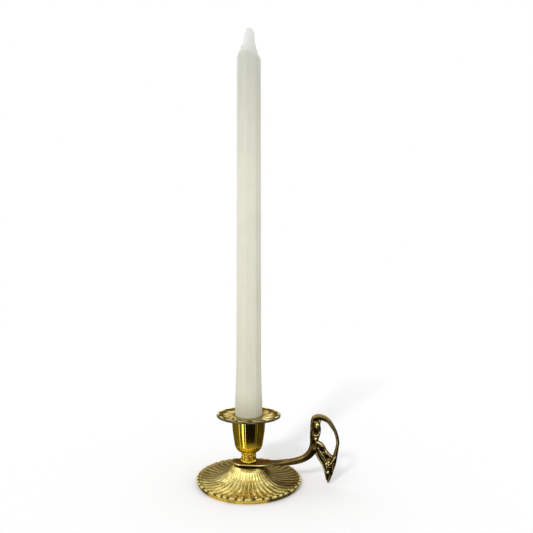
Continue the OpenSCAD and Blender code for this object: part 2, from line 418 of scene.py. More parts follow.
def candle_wax(name):
    """Ivory wax, satin and slightly see-through, greyer near the tip and near the end."""
    n = Nodes(name)
    cloud = n.noise(60, 3, 0.5)
    streak = n.noise(500, 3, 0.6, (1, 1, 0.06))
    height = n.add("SeparateXYZ")
    n.link(n.add("TexCoord").outputs["Object"], height.inputs[0])
    along = n.remap(height.outputs["Z"], candle_low.z * MM, wick_high.z * MM)
    tone = n.add("ValToRGB")
    stops = (
        (0.04, rgb(0.55, 0.53, 0.39)),
        (0.12, rgb(0.61, 0.595, 0.47)),
        (0.45, rgb(0.65, 0.64, 0.53)),
        (0.66, rgb(0.65, 0.64, 0.54)),
        (0.84, rgb(0.51, 0.51, 0.445)),
        (0.92, rgb(0.50, 0.505, 0.45)),
        (0.95, rgb(0.62, 0.63, 0.61)),
    )
    elements = tone.color_ramp.elements
    while len(elements) < len(stops):
        elements.new(0.5)
    for element, (place, colour) in zip(elements, stops):
        element.position = place
        element.color = colour
    n.link(along, tone.inputs["Fac"])
    tone = tone.outputs["Color"]
    tone = n.mix(n.remap(cloud, 0.4, 0.75, 0.0, 0.5), tone, rgb(0.56, 0.555, 0.46))
    tone = n.mix(n.remap(streak, 0.5, 0.75, 0.0, 0.35), tone, rgb(0.66, 0.66, 0.60))
    # painted shade in the fine flutes of the candle's end
    groove = n.add("Attribute", attribute_name="groove").outputs["Fac"]
    tone = n.mix(n.remap(groove, 0.3, 1.0, 0.0, 0.3), tone, rgb(0.38, 0.37, 0.28))
    n.link(tone, n.shader.inputs["Base Color"])
    n.set(IOR=1.44, Subsurface_Weight=0.35, Subsurface_Scale=0.003)
    n.shader.inputs["Subsurface Radius"].default_value = (1.0, 0.8, 0.55)
    n.link(n.remap(streak, 0.3, 0.7, 0.36, 0.5), n.shader.inputs["Roughness"])
    n.link(n.bump(streak, 0.15, 0.0001), n.shader.inputs["Normal"])
    return n.material


def cotton(name):
    """Plaited cotton soaked with wax."""
    n = Nodes(name)
    fibre = n.noise(2500, 3, 0.7, (1, 1, 0.3))
    tone = n.mix(n.remap(fibre, 0.35, 0.65), rgb(0.62, 0.60, 0.54), rgb(0.76, 0.75, 0.70))
    n.link(tone, n.shader.inputs["Base Color"])
    n.set(IOR=1.44)
    n.link(n.remap(fibre, 0.3, 0.7, 0.5, 0.75), n.shader.inputs["Roughness"])
    n.link(n.bump(fibre, 0.4, 0.0001), n.shader.inputs["Normal"])
    return n.material


# The saucer's film colour also serves as painted shade, and its last golden colour is a painted
# reflection on the foot band.
base_brass = brass(
    "base_brass",
    crest=rgb(1.0, 0.90, 0.36), flat=rgb(0.78, 0.65, 0.24), hollow=rgb(0.08, 0.052, 0.018),
    dull=rgb(0.064, 0.037, 0.013), edge=rgb(0.70, 0.54, 0.22), painted_reflection_and_tone=rgb(0.88, 0.62, 0.08),
    gloss=0.2, matte=0.36, start=0.56, full=0.88, rub=0.18, metal=0.86,
)
handle_bronze = brass(
    "handle_bronze",
    crest=rgb(1.0, 0.87, 0.42), flat=rgb(0.23, 0.138, 0.029), hollow=rgb(0.03, 0.018, 0.006),
    dull=rgb(0.068, 0.045, 0.014), edge=rgb(0.36, 0.225, 0.05), painted_reflection_and_tone=rgb(0.112, 0.097, 0.056),
    gloss=0.13, matte=0.34, start=0.52, full=0.86, rub=0.2,
)
collar_brass = brass(
    "collar_brass",
    crest=rgb(1.0, 0.80, 0.10), flat=rgb(0.98, 0.66, 0.05), hollow=rgb(0.34, 0.15, 0.015),
    dull=rgb(0.5, 0.3, 0.05), edge=rgb(0.95, 0.70, 0.10),
    gloss=0.18, matte=0.4, start=0.55, full=0.95, coat=0.15,
)
cup_brass = brass(
    "cup_brass",
    crest=rgb(0.88, 0.63, 0.07), flat=rgb(0.84, 0.57, 0.045), hollow=rgb(0.14, 0.08, 0.01),
    dull=rgb(0.26, 0.21, 0.12), edge=rgb(0.90, 0.68, 0.14),
    gloss=0.1, matte=0.24, start=0.54, full=0.9, grain=0.12, coat=0.08, pitted=0.15,
)
# The pan's film colour also serves as painted shade beneath the rim and beside the candle.
pan_brass = brass(
    "pan_brass",
    crest=rgb(1.0, 0.94, 0.62), flat=rgb(0.42, 0.34, 0.16), hollow=rgb(0.04, 0.026, 0.01),
    dull=rgb(0.05, 0.033, 0.012), edge=rgb(0.66, 0.53, 0.26),
    gloss=0.12, matte=0.32, start=0.47, full=0.8, rub=0.1, metal=0.92,
)
fastener_steel = steel("fastener_steel")
wax = candle_wax("wax")
wick_cotton = cotton("wick_cotton")


# ---------------------------------------------------------------- saucer


def base_outline():
    """Section of the saucer: underside outwards, foot band, bead ring, dish and hub inwards."""
    rim = base_high.x
    hub_under = HUB_Z - 3
    return filleted([
        (BORE_R, hub_under, 0.1),
        (10.4, hub_under, 0.8),
        (11.2, 8.8, 2),
        (12.7, 5.2, 3),
        (15.3, 1.8, 4),
        (20.0, 0.6, 5),
        (29.0, 0.5, 10),
        (rim - 4.4, 1.0, 1.0),
        (rim - 3.8, 0.0, 0.3),
        (rim - 2.0, 0.0, 0.4),
        (rim - 1.5, 0.6, 0.6),
        (rim - 1.2, 2.0, 0.4),
        (rim - 1.5, 2.45, 0.2),
        (rim - 0.1, 2.75, 0.4),
        (rim - 0.1, 3.6, 0.7),
        (rim - 0.8, 4.2, 0.5),
        (rim - 1.6, 4.1, 0.5),
        (rim - 2.4, 3.3, 0.6),
        (rim - 4.6, 2.5, 2.5),
        (31.0, 1.75, 10),
        (25.5, 1.85, 8),
        (21.8, 2.7, 6),
        (18.8, 4.2, 6),
        (16.3, 6.2, 5),
        (14.4, 8.8, 4),
        (12.9, 11.2, 2),
        (12.1, HUB_Z - 1.2, 1.2),
        (10.4, HUB_Z - 0.35, 0.8),
        (8.6, HUB_Z - 0.3, 0.3),
        (6.0, HUB_Z - 0.3, 0.2),
        (6.0, HUB_Z, 0.2),
        (BORE_R, HUB_Z, 0.1),
    ], 0.28)


def rim_notches(theta, r, z):
    """0 on the beads of the rim and 1 in the middle of each notch between them."""
    rim = base_high.x
    bead = ramp(r, rim - 2.4, rim - 1.8) * ramp(z, 2.5, 2.9)
    uneven = theta + 0.02 * np.sin(7 * theta) + 0.012 * np.sin(17 * theta + 1)
    return bead * (1 - lobes(uneven + math.pi / RIM_BEADS, RIM_BEADS, 0.7))


def base_relief(theta, r, z, nz):
    """Raised ribs from the hub to the rim, and the beads of the rim with their notches."""
    rim = base_high.x
    top = ramp(nz, 0.02, 0.3)
    sway = theta + 0.010 * np.sin(5 * theta + 0.35 * r) + 0.006 * np.sin(13 * theta - 0.5 * r)
    tall = 1.25 + 0.16 * np.sin(9 * theta + 1.3) + 0.1 * np.sin(23 * theta)
    reach = 0.25 * ramp(r, 12.6, 13.3) + 0.75 * ramp(r, 13.2, 18)
    inside = 1 - ramp(r, rim - 2.4, rim - 1.6)
    ribs = top * reach * inside * tall * fluted(sway, r, RIBS, half_width=0.62)
    return ribs - rim_notches(theta, r, z)


def base_film_and_painted_shade(x, y, z):
    """Dull film: patina in the trough, on the outer edge of the rim and in its notches; painted
    shade, darker on the right side and on the bell's flanks; a painted shadow in the gap under
    the strap; and on the foot band the dark part of a painted reflection. There is little film at
    the front, which leaves a painted highlight there."""
    r = np.hypot(x, y)
    # painted shade: more film towards the right side
    right = np.clip(x / np.maximum(r, 1), 0, 1) ** 1.5
    # little film towards the front, which leaves a painted highlight there
    aside = 1 - 0.97 * np.clip(-y / np.maximum(r, 1), 0, 1) ** 1.2
    dish = band(r, 19, 37, 3.5) * aside * (0.9 + 0.4 * right)
    # painted shade on the bell's flanks, more on its right
    bell = (1 - ramp(r, 16, 19)) * (0.7 * aside + 0.4 * right)
    # painted shadow in the gap under the strap
    gap = 1.4 * ramp(HUB_Z - z, 1.3, 1.0) * ramp(r, 10.9, 10.2)
    rim = 0.55 * ramp(r, 38.2, 39.0) * ramp(z, 2.6, 3.0)
    rim = rim + ramp(rim_notches(np.arctan2(y, x), r + 0.8, z), 0.25, 0.7)
    # on the foot band the film is the dark part of a painted reflection
    return dish + bell + gap + rim + foot_band(r, z)


def foot_band(r, z):
    """1 on the plain band that the saucer stands on."""
    return ramp(r, base_high.x - 3.5, base_high.x - 2.9) * ramp(z, 2.5, 2.2)


def base_painted_reflection(x, y, z):
    """Painted reflection on the foot band: bright mostly at the front, darker in a narrow strip
    there, and bright again at the back.
    """
    turn = np.degrees(np.arctan2(x, -y))
    clean = band(turn, -36, 24, 7) - 0.5 * band(turn, -14, -6, 3) + 0.8 * band(turn, 130, 165, 8)
    return foot_band(np.hypot(x, y), z) * clean


base = piece(
    "base_dish_casting", *turned(base_outline(), RIBS * 18, base_relief),
    "base_dish", "base_brass", base_brass,
)
mark_recesses(base, passes=26, depth_mm=0.3)
# film weight with patina, painted shade, a painted shadow and a painted highlight
mark(base, "film_and_painted_shade", base_film_and_painted_shade)
# weight of the painted reflection on the foot band
mark(base, "painted_reflection_and_tone", base_painted_reflection)


# ---------------------------------------------------------------- cup, pan and collar


def cup_outline():
    """Section of the cup from the blind stud hole round to the socket's floor."""
    mouth = cup_high.x
    top = cup_high.z
    bottom = cup_low.z
    floor = bottom + CUP_FLOOR
    return filleted([
        (0, stud_high.z, 0),
        (STUD_R, stud_high.z, 0.1),
        (STUD_R, bottom, 0.1),
        (6.2, bottom, 0.3),
        (8.2, bottom + 0.5, 1.4),
        (9.9, bottom + 2.1, 2.0),
        (10.9, bottom + 4.7, 2.5),
        (11.6, bottom + 9, 6),
        (12.65, bottom + 16, 10),
        (mouth - 0.15, top, 0.25),
        (SOCKET_MOUTH_R, top, 0.25),
        (SOCKET_FLOOR_R, floor, 0.8),
        (0, floor, 0),
    ], 0.28, closed=False)


def socket_wall(z):
    """Radius of the tapered socket."""
    widening = (SOCKET_MOUTH_R - SOCKET_FLOOR_R) / SOCKET_DEPTH
    return SOCKET_FLOOR_R + (z - cup_low.z - CUP_FLOOR) * widening


def cup_relief(theta, r, z, nz):
    """Tall petals with arched tops round the wall, parted by narrow grooves."""
    top = cup_high.z
    pitch = 2 * math.pi / CUP_PETALS
    half = pitch * r / 2
    across = ((theta / pitch + 0.76) % 1 - 0.5) * pitch * r
    rise = z - (top - 1.3 - half)
    to_side = half - np.abs(across)
    to_arch = np.abs(half - np.hypot(across, rise))
    groove = np.exp(-((np.where(rise > 0, to_arch, to_side) / 0.34) ** 2))
    outside = ramp(r - socket_wall(z), 0.7, 1.1) * ramp(r, 8.6, 10.2)
    return -0.11 * outside * groove * ramp(top - z, 0.9, 1.2)


def cup_tarnish(x, y, z):
    """Dull film, with traces of wax, on the inside of the socket."""
    inside = ramp(np.hypot(x, y) - socket_wall(z), 0.5, 0.2)
    floor = cup_low.z + CUP_FLOOR
    return inside * ramp(z, floor - 0.5, floor - 0.1)


cup = piece(
    "candle_cup_casting", *turned(cup_outline(), CUP_PETALS * 32, cup_relief, closed=False),
    "candle_cup", "cup_brass", cup_brass,
)
mark_recesses(cup, passes=24, depth_mm=0.11)
mark(cup, "film_and_painted_shade", cup_tarnish)


def pan_outline():
    """Section of the drip pan, underside outwards, round the thick rim and back inwards."""
    rim = pan_high.x
    seat, top = cup_high.z, pan_high.z
    hole = SOCKET_MOUTH_R
    return filleted([
        (hole, seat, 0.15),
        (13.2, seat, 0.3),
        (15.5, seat + 0.2, 1.5),
        (20.0, seat + 0.15, 3),
        (rim - 2.2, seat - 0.25, 1.2),
        (rim - 0.05, seat + 0.4, 1.1),
        (rim - 0.05, top - 0.7, 0.7),
        (rim - 1.1, top, 0.7),
        (rim - 3.6, top - 0.7, 1.2),
        (19.0, top - 1.2, 3),
        (14.4, top - 1.25, 2),
        (hole, top - 1.3, 0.2),
    ], 0.22)


def pan_relief(theta, r, z, nz):
    """Swirling gadroons on the upper side, which run over the rim and fade beneath it."""
    out = ramp(r, 12.8, 15.5)
    above = ramp(nz, -0.5, 0.3)
    rolls = lobes(theta, PAN_LOBES, 0.9) - 1
    return out * (0.72 * above + 0.08) * rolls


def pan_twist(r, z):
    """The lobes swirl: the further out a point lies, the more it is turned."""
    return PAN_SWIRL * (r - SOCKET_MOUTH_R)


def pan_film_and_painted_shade(x, y, z):
    """Dull film round the outside of the rim, and painted shade beneath the rim and beside the
    candle, on its left and right.
    """
    r = np.hypot(x, y)
    rim = pan_high.x
    # painted shade under the rim
    beneath = ramp(r, 18, 22) * ramp(z, pan_high.z - 0.3, pan_high.z - 0.7)
    edge = 1.3 * np.maximum(beneath, ramp(r, rim - 1.3, rim - 0.5))
    # painted shade beside the candle, on its left and right
    return np.maximum(edge, 0.8 * ramp(r, 14, 12.2) * np.abs(x) / r)


pan = piece(
    "drip_pan_casting", *turned(pan_outline(), PAN_LOBES * 28, pan_relief, twist=pan_twist),
    "drip_pan", "pan_brass", pan_brass,
)
mark_recesses(pan, passes=30, depth_mm=0.2)
mark(pan, "film_and_painted_shade", pan_film_and_painted_shade)


def collar_outline():
    """Section of the collar: two bead mouldings with an ornamented band between them."""
    low, high = collar_low.z, collar_high.z
    out = collar_high.x
    return filleted([
        (BORE_R, low, 0.1),
        (out - 0.5, low, 0.2),
        (out, low + 0.5, 0.5),
        (out - 0.1, low + 1.3, 0.5),
        (out - 0.8, low + 1.7, 0.3),
        (out - 0.8, high - 1.9, 0.3),
        (out - 0.2, high - 1.5, 0.5),
        (out - 0.1, high - 0.7, 0.5),
        (out - 0.4, high, 0.2),
        (BORE_R, high, 0.1),
    ], 0.16)


def collar_relief(theta, r, z, nz):
    """Small leaves with a bead between each pair, and beading round the mouldings."""
    low, high = collar_low.z, collar_high.z
    height = np.clip((z - low - 1.6) / (high - low - 3.4), 0, 1)
    face = ramp(r, 4.2, 4.7) * band(z, low + 1.6, high - 1.8, 0.4)
    leaf_width = 0.5 + 0.5 * np.sin(math.pi * height) ** 0.7
    turn = theta * COLLAR_LEAVES / 2
    across = np.abs(np.sin(turn))
    leaf = np.clip(1 - across / (0.75 * leaf_width), 0, 1) ** 0.5
    vein = np.clip(1 - across / 0.09, 0, 1)
    berry = 1 - (np.abs(np.cos(turn)) / 0.4) ** 2 - ((height - 0.7) / 0.24) ** 2
    berry = np.clip(berry, 0, 1)
    beads = ramp(r, 5.0, 5.3) * (1 - face) * (lobes(theta, COLLAR_BEADS, 0.6) - 1)
    return face * (0.62 * leaf - 0.2 * vein + 0.6 * berry**0.5) + 0.28 * beads


collar = piece(
    "neck_collar_casting", *turned(collar_outline(), COLLAR_BEADS * 16, collar_relief),
    "neck_collar", "collar_brass", collar_brass,
)
mark_recesses(collar, passes=20, depth_mm=0.1)


# ---------------------------------------------------------------- handle


def swept(stations, power=2.0, sides=28, steps=10):
    """Closed solid along rows of x, y, z, half width in the side view, half depth in Y. Its
    section is an ellipse at power 2 and squarer above."""
    rows = smooth_curve(stations, steps)
    centre = rows[:, :3]
    half = np.maximum(rows[:, 3:5], 0.02)
    along = np.gradient(centre, axis=0)
    along[:, 1] = 0
    along /= np.linalg.norm(along, axis=1, keepdims=True)
    across = np.column_stack([-along[:, 2], 0 * along[:, 0], along[:, 0]])
    angle = np.linspace(0, 2 * math.pi, sides, endpoint=False)
    c = np.sign(np.cos(angle)) * np.abs(np.cos(angle)) ** (2 / power)
    s = np.sign(np.sin(angle)) * np.abs(np.sin(angle)) ** (2 / power)
    rings = (
        centre[:, None, :]
        + across[:, None, :] * (half[:, :1] * c)[..., None]
        + np.array([0, 1, 0])[None, None, :] * (half[:, 1:] * s)[..., None]
    )
    verts = np.vstack([rings.reshape(-1, 3), centre[:1], centre[-1:]])
    faces = grid_faces(len(rows), sides, False)
    first, last = len(verts) - 2, len(verts) - 1
    start = (len(rows) - 1) * sides
    for j in range(sides):
        k = (j + 1) % sides
        faces.append([first, k, j])
        faces.append([last, start + j, start + k])
    return verts, faces


def ball(x, y, z, rx, ry, rz, lean=0.0):
    """Closed ellipsoid, leaned in the side view by an angle in degrees."""
    rows, sides = 14, 24
    polar = np.linspace(0, math.pi, rows)[:, None]
    angle = np.linspace(0, 2 * math.pi, sides, endpoint=False)[None, :]
    px = rx * np.sin(polar) * np.cos(angle)
    py = ry * np.sin(polar) * np.sin(angle)
    pz = -rz * np.cos(polar) + 0 * angle
    c, s = math.cos(math.radians(lean)), math.sin(math.radians(lean))
    verts = np.stack([x + c * px + s * pz, y + py, z - s * px + c * pz], -1)
    return verts.reshape(-1, 3), grid_faces(rows, sides, False)


def ring_of_balls(x, z, ring, size, count, out):
    """Petals in a ring on the face of the grip."""
    verts, faces = [], []
    for turn in range(count):
        a = 2 * math.pi * turn / count + 0.3
        v, f = ball(x + ring * math.cos(a), out, z + ring * math.sin(a), size, 1.1, size)
        faces += [[i + len(v) * turn for i in face] for face in f]
        verts.append(v)
    return np.vstack(verts), faces


def both_faces(make, *args):
    """The same relief on the front and the back of the grip."""
    verts, faces = make(*args)
    flipped = [face[::-1] for face in faces]
    return [(verts * np.array([1, -1, 1]), flipped), (verts, faces)]


def strap_solid():
    """The flat strap with its rounded end, narrowing into the arm."""
    half_t = (STRAP_TOP_Z - HUB_Z) / 2
    mid = HUB_Z + half_t
    end = handle_low.x
    radius = handle_high.y
    stations = []
    for angle in np.linspace(0, 90, 10):
        x = end + radius * (1 - math.cos(math.radians(angle)))
        stations.append((x, 0, mid, half_t, radius * math.sin(math.radians(angle))))
    stations += [
        (2, 0, mid, half_t, radius),
        (9, 0, mid + 0.05, half_t, radius - 0.4),
        (15, 0, mid + 0.25, half_t + 0.15, radius - 1.8),
        (21, 0, mid + 0.7, half_t + 0.5, radius - 3.4),
        (27, 0, mid + 1.3, half_t + 0.9, radius - 4.6),
    ]
    return swept(stations, power=3.6, sides=40, steps=4)


def grip_solids():
    """The arm, the limb, the thin outer rod and the leaves of the finger grip."""
    parts = [strap_solid()]
    arm = [
        (22, 0, 15.1, 1.6, 3.8), (28, 0, 15.9, 2.0, 3.0), (33.5, 0, 16.6, 2.3, 2.5),
        (39, 0, 18.0, 2.45, 2.4), (43.6, 0, 20.0, 2.6, 2.4), (47.4, 0, 23.0, 2.9, 2.4),
        (50, 0, 27, 3.2, 2.4), (51, 0, 31, 3.1, 2.3),
    ]
    limb = [
        (50.4, 0, 26, 3.0, 2.3), (51.0, 0, 31, 3.3, 2.2), (51.2, 0, 35.2, 3.3, 2.0),
        (51.9, 0, 39, 3.9, 2.0), (52.2, 0, 42.5, 4.1, 2.0), (52.1, 0, 46, 3.8, 1.9),
        (53.0, 0, 49.6, 3.4, 1.8), (55.0, 0, 51.4, 2.4, 1.7),
    ]
    rod = [
        (49.7, 0, 44, 1.2, 1.8), (49.9, 0, 47.6, 1.5, 1.9), (51.3, 0, 50.8, 1.9, 1.9),
        (54.2, 0, 51.8, 2.2, 1.9), (57.8, 0, 51.2, 2.3, 1.8), (61.9, 0, 49.1, 1.9, 1.75),
        (65.2, 0, 44.5, 1.55, 1.7), (67.6, 0, 39.8, 1.35, 1.6), (68.9, 0, 33.5, 1.25, 1.5),
        (68.2, 0, 28.3, 1.3, 1.5), (67.1, 0, 23.6, 1.6, 1.6), (66.1, 0, 17.6, 1.5, 1.6),
        (64.3, 0, 11.5, 1.3, 1.5), (62.4, 0, 5.5, 1.0, 1.2), (61.1, 0, 1.9, 0.4, 0.5),
    ]
    leaf = [
        (52.4, 0, 30.0, 2.6, 1.5), (55.3, 0, 27.4, 3.3, 1.6), (58.3, 0, 24.0, 3.8, 1.6),
        (61.0, 0, 19.8, 3.8, 1.5), (62.6, 0, 15.0, 3.5, 1.4), (62.5, 0, 10.0, 2.7, 1.2),
        (61.7, 0, 5.5, 1.5, 0.9), (61.1, 0, 2.2, 0.5, 0.5),
    ]
    leaf_edge = [
        (52.9, 0, 33.2, 1.0, 2.2), (56.0, 0, 31.4, 1.3, 2.8), (58.4, 0, 28.9, 1.2, 2.8),
        (60.0, 0, 26.0, 1.1, 2.6), (62.6, 0, 23.2, 1.0, 2.3), (65.2, 0, 21.6, 0.9, 1.9),
    ]
    spear_edge = [
        (52.4, 0, 24.6, 1.1, 2.3), (54.9, 0, 20.0, 1.1, 2.5), (58.0, 0, 14.9, 1.0, 2.4),
        (59.5, 0, 9.6, 0.9, 2.1), (60.4, 0, 4.2, 0.6, 1.3),
    ]
    leaf_vein = [
        (53.9, 0, 28.6, 0.7, 2.2), (56.6, 0, 24.8, 0.8, 2.6), (58.8, 0, 21.4, 0.8, 2.5),
        (60.0, 0, 18.6, 0.7, 2.2),
    ]
    web = [(60.4, 0, 21.4, 2.2, 1.2), (63.2, 0, 20.6, 2.8, 1.2), (66.2, 0, 20.2, 2.8, 1.2)]
    scroll = [
        (52.6 + 2.4 * math.cos(a), 1.9, 40.4 + 2.4 * math.sin(a), 0.8, 1.2)
        for a in np.radians([165, 200, 235, 270, 305, 340, 375])
    ]
    inner_leaf = [
        (66.9, 0, 22.4, 0.8, 2.1), (64.9, 0, 19.4, 1.0, 2.6), (63.2, 0, 16.4, 0.8, 2.4),
    ]
    limb_edge = [(48.6, 0, 30, 0.7, 2.3), (48.5, 0, 37, 0.7, 2.3), (48.9, 0, 43.5, 0.7, 2.2)]
    for stations, power in (
        (arm, 2.6), (limb, 2.8), (rod, 2.1), (leaf, 2.8), (leaf_edge, 2.0), (spear_edge, 2.0),
        (leaf_vein, 2.0), (web, 2.0), (inner_leaf, 2.0), (limb_edge, 2.0),
    ):
        parts.append(swept(stations, power))
    parts += both_faces(swept, scroll)
    for x, z, r in ((53.5, 45.4, 2.0), (52.3, 35.4, 1.4), (61.2, 10.6, 1.2)):
        parts += both_faces(ball, x, 1.6, z, r, 1.5, r * 1.1)
    parts += both_faces(ball, 54.8, 1.0, 49.2, 1.7, 1.4, 1.1, 30)
    parts += both_faces(ring_of_balls, 61.7, 16.2, 1.5, 1.3, 5, 1.4)
    parts += both_faces(ball, 61.7, 1.7, 16.2, 0.9, 1.5, 0.9)
    return parts


def object_of(name, parts):
    """A working object that holds closed solids, in millimetres."""
    verts, faces, start = [], [], 0
    for v, f in parts:
        verts.append(v)
        faces += [[i + start for i in face] for face in f]
        start += len(v)
    made = bpy.data.objects.new(name, closed_mesh(name, np.vstack(verts), faces, merge=1e-5))
    bpy.context.scene.collection.objects.link(made)
    return made


def fused(name, parts, voxel_mm, passes, hole):
    """Verts and faces of one casting: closed solids remeshed together, smoothed and bored."""
    holder = object_of(name + "_parts", parts)
    cutter = object_of(name + "_cutter", [hole])
    remesh = holder.modifiers.new("remesh", "REMESH")
    remesh.mode = "VOXEL"
    remesh.voxel_size = voxel_mm
    soften = holder.modifiers.new("soften", "SMOOTH")
    soften.factor = 0.5
    soften.iterations = passes
    bore = holder.modifiers.new("bore", "BOOLEAN")
    bore.operation = "DIFFERENCE"
    bore.solver = "MANIFOLD"
    bore.object = cutter
    shown = holder.evaluated_get(bpy.context.evaluated_depsgraph_get())
    result = shown.to_mesh()
    out_verts = np.empty(len(result.vertices) * 3)
    result.vertices.foreach_get("co", out_verts)
    out_faces = [list(p.vertices) for p in result.polygons]
    shown.to_mesh_clear()
    for used in (holder, cutter):
        mesh = used.data
        bpy.data.objects.remove(used)
        bpy.data.meshes.remove(mesh)
    return out_verts.reshape(-1, 3), out_faces


def dented(verts):
    """Hollows pressed into both faces of the grip: x, z, half width, half height, depth."""
    hollows = [
        (57.6, 27.4, 2.2, 1.8, 1.4), (61.3, 21.4, 1.6, 1.4, 0.9), (51.2, 31.0, 1.5, 2.6, 0.6),
        (53.2, 49.4, 2.0, 1.1, 1.1), (63.8, 11.0, 1.0, 3.4, 1.1), (52.7, 40.9, 1.5, 1.5, 1.4),
    ]
    out = verts.copy()
    x, y, z = verts.T
    for hx, hz, wide, tall, depth in hollows:
        weight = np.exp(-(((x - hx) / wide) ** 2 + ((z - hz) / tall) ** 2) ** 1.5)
        out[:, 1] -= np.sign(y) * np.minimum(depth * weight, np.abs(y) * 0.6)
    return out


def stud_hole():
    """Cylinder that cuts the stud's clearance hole through the strap."""
    outline = np.array([
        (0, HUB_Z - 1), (BORE_R, HUB_Z - 1), (BORE_R, STRAP_TOP_Z + 1), (0, STRAP_TOP_Z + 1),
    ])
    return turned(outline, 64, closed=False)


def strap_top(x, y, z):
    """1 on the flat top of the strap, fading out along the arm."""
    return ramp(z, STRAP_TOP_Z - 0.5, STRAP_TOP_Z - 0.2) * (1 - ramp(x, 20, 32))


def handle_tarnish(x, y, z):
    """Dull film: full on the strap's top, half on the arm and the grip, and none on the
    strap's edge and on the raised ornament."""
    strap = strap_top(x, y, z)
    strap_edge = ramp(z, STRAP_TOP_Z - 0.3, STRAP_TOP_Z - 0.6) * (1 - ramp(x, 20, 32))
    ornament = ramp(np.abs(y), 1.7, 2.2) * ramp(x, 50, 51.5) * (1 - ramp(x, 66, 68))
    return np.maximum(strap, 0.6 - 0.6 * np.maximum(ornament, strap_edge))


handle_verts, handle_faces = fused(
    "handle", grip_solids(), voxel_mm=0.25, passes=4, hole=stud_hole(),
)
handle = piece(
    "handle_casting", dented(handle_verts), handle_faces, "handle", "handle_bronze",
    handle_bronze,
)
mark_recesses(handle, passes=16, depth_mm=0.2)
mark(handle, "film_and_painted_shade", handle_tarnish)
mark(handle, "painted_reflection_and_tone", strap_top)


# ---------------------------------------------------------------- candle and wick

FACETS = 8
FACET_TURN = math.radians(-72)
END_FLUTES = 36
CANDLE_BODY_R = 10.05


def candle_rows():
    """Heights of the rings of points, closer together where the shape changes."""
    low, tip = candle_low.z, wick_high.z
    return np.concatenate([
        np.linspace(low, pan_high.z + 14, 70, endpoint=False),
        np.linspace(pan_high.z + 14, pan_high.z + 42, 24, endpoint=False),
        np.linspace(pan_high.z + 42, tip - 32, 40, endpoint=False),
        np.linspace(tip - 32, tip - 0.9, 110),
    ])


def end_fluting(above, theta):
    """Depth of the fine flutes of the candle's end, 0 to 1, at a height above the pan."""
    uneven = theta * END_FLUTES + 0.9 * np.sin(5 * theta) + 0.7 * np.sin(9 * theta + 1)
    return (1 - ramp(above, 5, 20)) * (0.5 - 0.5 * np.cos(uneven))


def candle_solid():
    """The candle: fluted and flared at its end, eight-sided above, with a dipped tip."""
    low, tip = candle_low.z, wick_high.z
    end_r, body_r = candle_high.x, CANDLE_BODY_R
    z = candle_rows()[:, None]
    theta = np.linspace(0, 2 * math.pi, 480, endpoint=False)[None, :]
    side = 2 * math.pi / FACETS
    phase = (theta - FACET_TURN + side / 2) % side - side / 2
    eight = math.cos(side / 2) / np.cos(phase)
    above = z - pan_high.z
    flare = body_r + (end_r - 0.25 - body_r) * (1 - ramp(above, 6, 40))
    inside = np.clip((pan_low.z - z) / (pan_low.z - low), 0, 1)
    radius = flare - inside * (end_r - 8.5)
    facets = ramp(above, 4, 30)
    radius = radius * (1 - facets + facets * (0.25 + 0.75 * eight))
    radius = radius - 0.3 * end_fluting(above, theta)
    # The shoulder is uneven: higher on the left, with a lip of wax that wraps the tip.
    tilt = 1.6 * np.cos(theta - math.radians(195)) + 0.3 * np.sin(3 * theta + 0.8)
    down = tip - z + 0 * theta
    shoulder = 22.4 - tilt
    below = down - shoulder
    cone_down, cone_r = zip(
        (0.7, 1.9), (1.4, 2.6), (2.4, 3.1), (5.9, 4.1), (9.3, 4.65), (12.8, 5.2), (16.2, 5.9),
        (24, 7.2),
    )
    cone = np.interp(down, cone_down, cone_r)
    cone = cone + 0.12 * np.sin(5 * theta + 0.35 * z) + 0.1 * np.sin(2 * theta - 0.5 * z)
    lip_line = 18.9 + 2.4 * np.cos(theta - math.radians(30))
    lip = 0.6 * np.exp(-(((down - lip_line) / 0.7) ** 2))
    lip = lip + 0.45 * ramp(down, lip_line, lip_line + 0.6)
    tip_r = cone + lip
    round_off = np.clip(below / 5.5, 0, 1)
    shoulder_r = tip_r + (radius - tip_r) * np.sqrt(1 - (1 - round_off) ** 2)
    radius = np.where(below > 0, np.minimum(shoulder_r, radius), np.minimum(tip_r, radius))
    height = z + 0 * theta
    lean = 0.75 * np.clip(1 - down / 20, 0, 1)
    rings = np.stack([radius * np.cos(theta) + lean, radius * np.sin(theta), height], -1)
    return capped(rings, (0, 0, low), (lean[-1, 0], 0, tip - 0.3))


candle = piece("candle_wax_body", *candle_solid(), "candle", "wax", wax)
# weight for the painted shade in the flutes of the candle's end
mark(candle, "groove", lambda x, y, z: end_fluting(z - pan_high.z, np.arctan2(y, x)))


def wick_solid():
    """The wick's tuft, which shows through the tip."""
    tip = wick_high.z
    rows = np.array([
        (0, tip - 5), (1.2, tip - 5), (1.15, tip - 1.2), (1.05, tip - 0.4), (0.6, tip), (0, tip),
    ])
    outline = filleted([(r, z, 0.2) for r, z in rows], 0.15, closed=False)

    def plait(theta, r, z, nz):
        return -0.12 * (1 - lobes(theta + 1.6 * z, 3, 0.7)) * ramp(r, 0.5, 1.0)

    return turned(outline, 48, plait, closed=False)


wick = piece("wick_plait", *wick_solid(), "wick", "wick_cotton", wick_cotton)


# ---------------------------------------------------------------- fasteners


